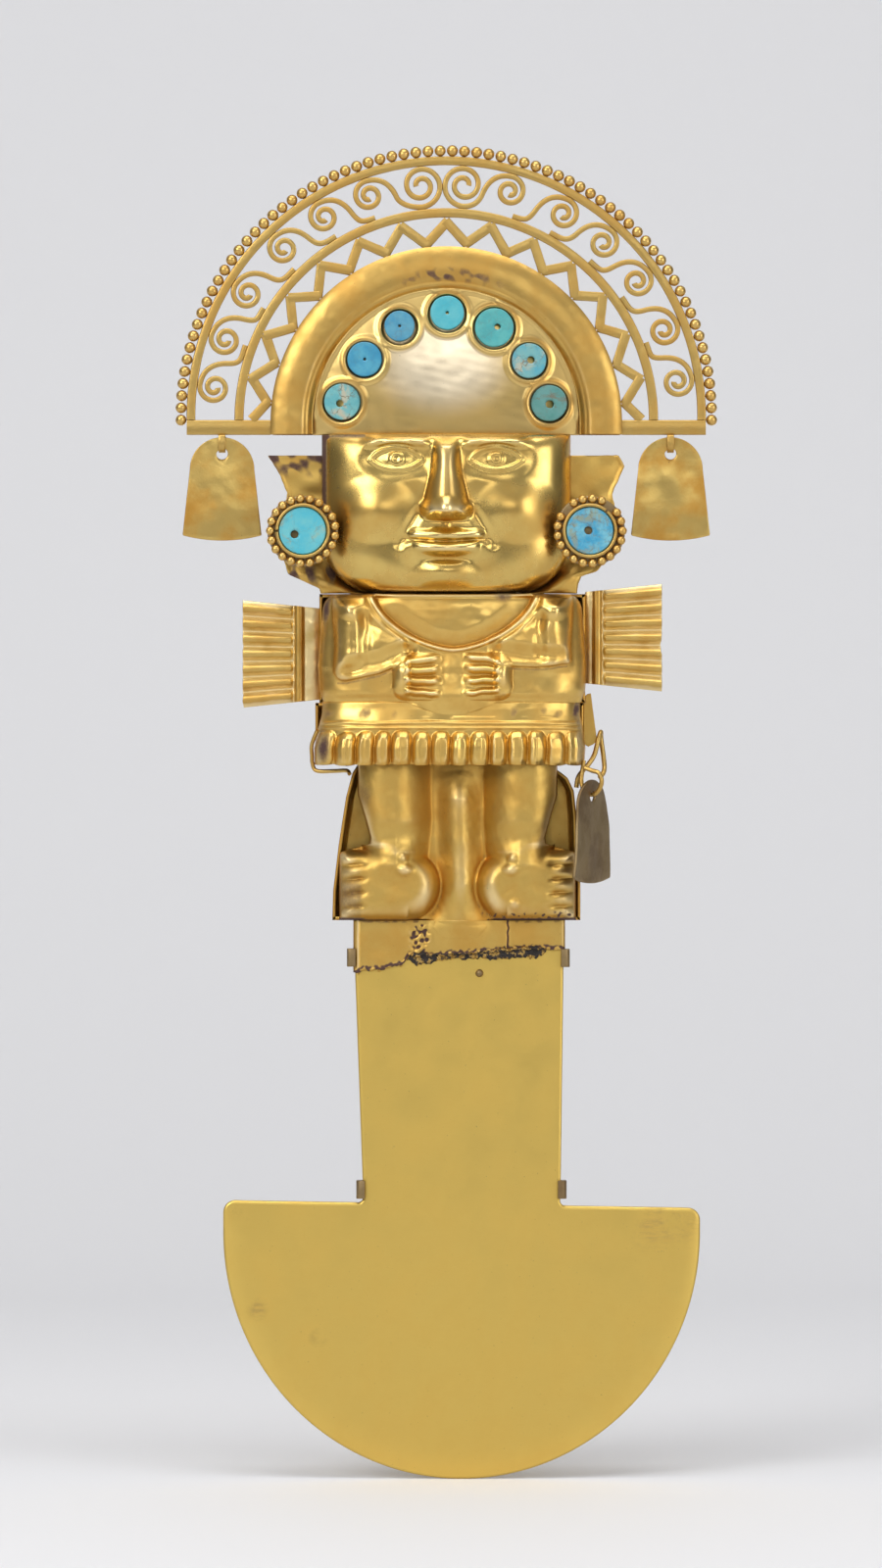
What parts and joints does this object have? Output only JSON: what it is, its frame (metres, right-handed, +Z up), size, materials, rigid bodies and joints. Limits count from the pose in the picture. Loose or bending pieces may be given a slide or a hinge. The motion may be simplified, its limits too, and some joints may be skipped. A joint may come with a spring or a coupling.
{
  "type": "ceremonial knife",
  "caption": "Ceremonial knife with a round blade, flat shank, hollow standing figure, filigree crest with beads, stone inlays and hanging plaques.",
  "frame": {"origin": "lowest point of the cutting edge, on the middle plane of the blade, where a display stand's foot takes it", "axes": "+Z up along the shank, +X to the right seen from the front, +Y to the back"},
  "size_m": [0.1342, 0.0284, 0.3302],
  "materials": {
    "blade_gold": "satin",
    "sheet_gold": "polished",
    "wire_gold": "satin",
    "bead_gold": "satin",
    "old_gold": "matt",
    "solder": "rough",
    "turquoise": "satin"
  },
  "bodies": {
    "knife": {"blade": "blade_gold", "collar_front": "sheet_gold", "collar_back": "sheet_gold", "solder_seam": "solder", "collar_rivet": "old_gold", "clip_upper_left": "old_gold", "clip_upper_right": "old_gold", "clip_lower_left": "old_gold", "clip_lower_right": "old_gold", "legs_front": "sheet_gold", "legs_back": "sheet_gold", "skirt_front": "sheet_gold", "skirt_back": "sheet_gold", "torso_front": "sheet_gold", "torso_back": "sheet_gold", "face_mask": "sheet_gold", "head_back": "sheet_gold", "ear_flange_left": "sheet_gold", "ear_flange_right": "sheet_gold", "ear_spool_left": "sheet_gold", "ear_spool_right": "sheet_gold", "ear_bezel_left": "wire_gold", "ear_bezel_right": "wire_gold", "ear_granules_left": "bead_gold", "ear_granules_right": "bead_gold", "ear_stone_left": "turquoise", "ear_stone_right": "turquoise", "wing_left": "sheet_gold", "wing_right": "sheet_gold", "crest_back_plate": "sheet_gold", "crest_band": "sheet_gold", "half_moon": "sheet_gold", "stone_1": "turquoise", "stone_2": "turquoise", "stone_3": "turquoise", "stone_4": "turquoise", "stone_5": "turquoise", "stone_6": "turquoise", "stone_7": "turquoise", "zigzag": "wire_gold", "middle_arch": "wire_gold", "outer_arch": "wire_gold", "crest_beads": "bead_gold", "scrolls_left": "wire_gold", "scrolls_right": "wire_gold", "top_scroll_left": "wire_gold", "top_scroll_right": "wire_gold", "base_bar_left": "wire_gold", "base_bar_right": "wire_gold", "strap_left": "wire_gold", "strap_right": "wire_gold", "side_tab": "sheet_gold", "hem_hook": "wire_gold", "tie_wire": "wire_gold", "left_wire": "wire_gold"},
    "left_plaque": {"plaque_left": "sheet_gold"},
    "right_plaque": {"plaque_right": "sheet_gold"},
    "side_plaque": {"side_plaque": "old_gold"}
  },
  "joints": [
    {"name": "left_plaque_swing", "type": "hinge", "parent": "knife", "child": "left_plaque", "pos_m": [-0.0593, 0, 0.25416], "axis": [1, 0, 0], "range_deg": [-20, 20]},
    {"name": "right_plaque_swing", "type": "hinge", "parent": "knife", "child": "right_plaque", "pos_m": [0.0517, 0, 0.25416], "axis": [1, 0, 0], "range_deg": [-20, 20]},
    {"name": "side_plaque_swing", "type": "hinge", "parent": "knife", "child": "side_plaque", "pos_m": [0.032, -0.0065, 0.1694], "axis": [0.4695, 0.8829, 0], "range_deg": [-20, 5]}
  ]
}
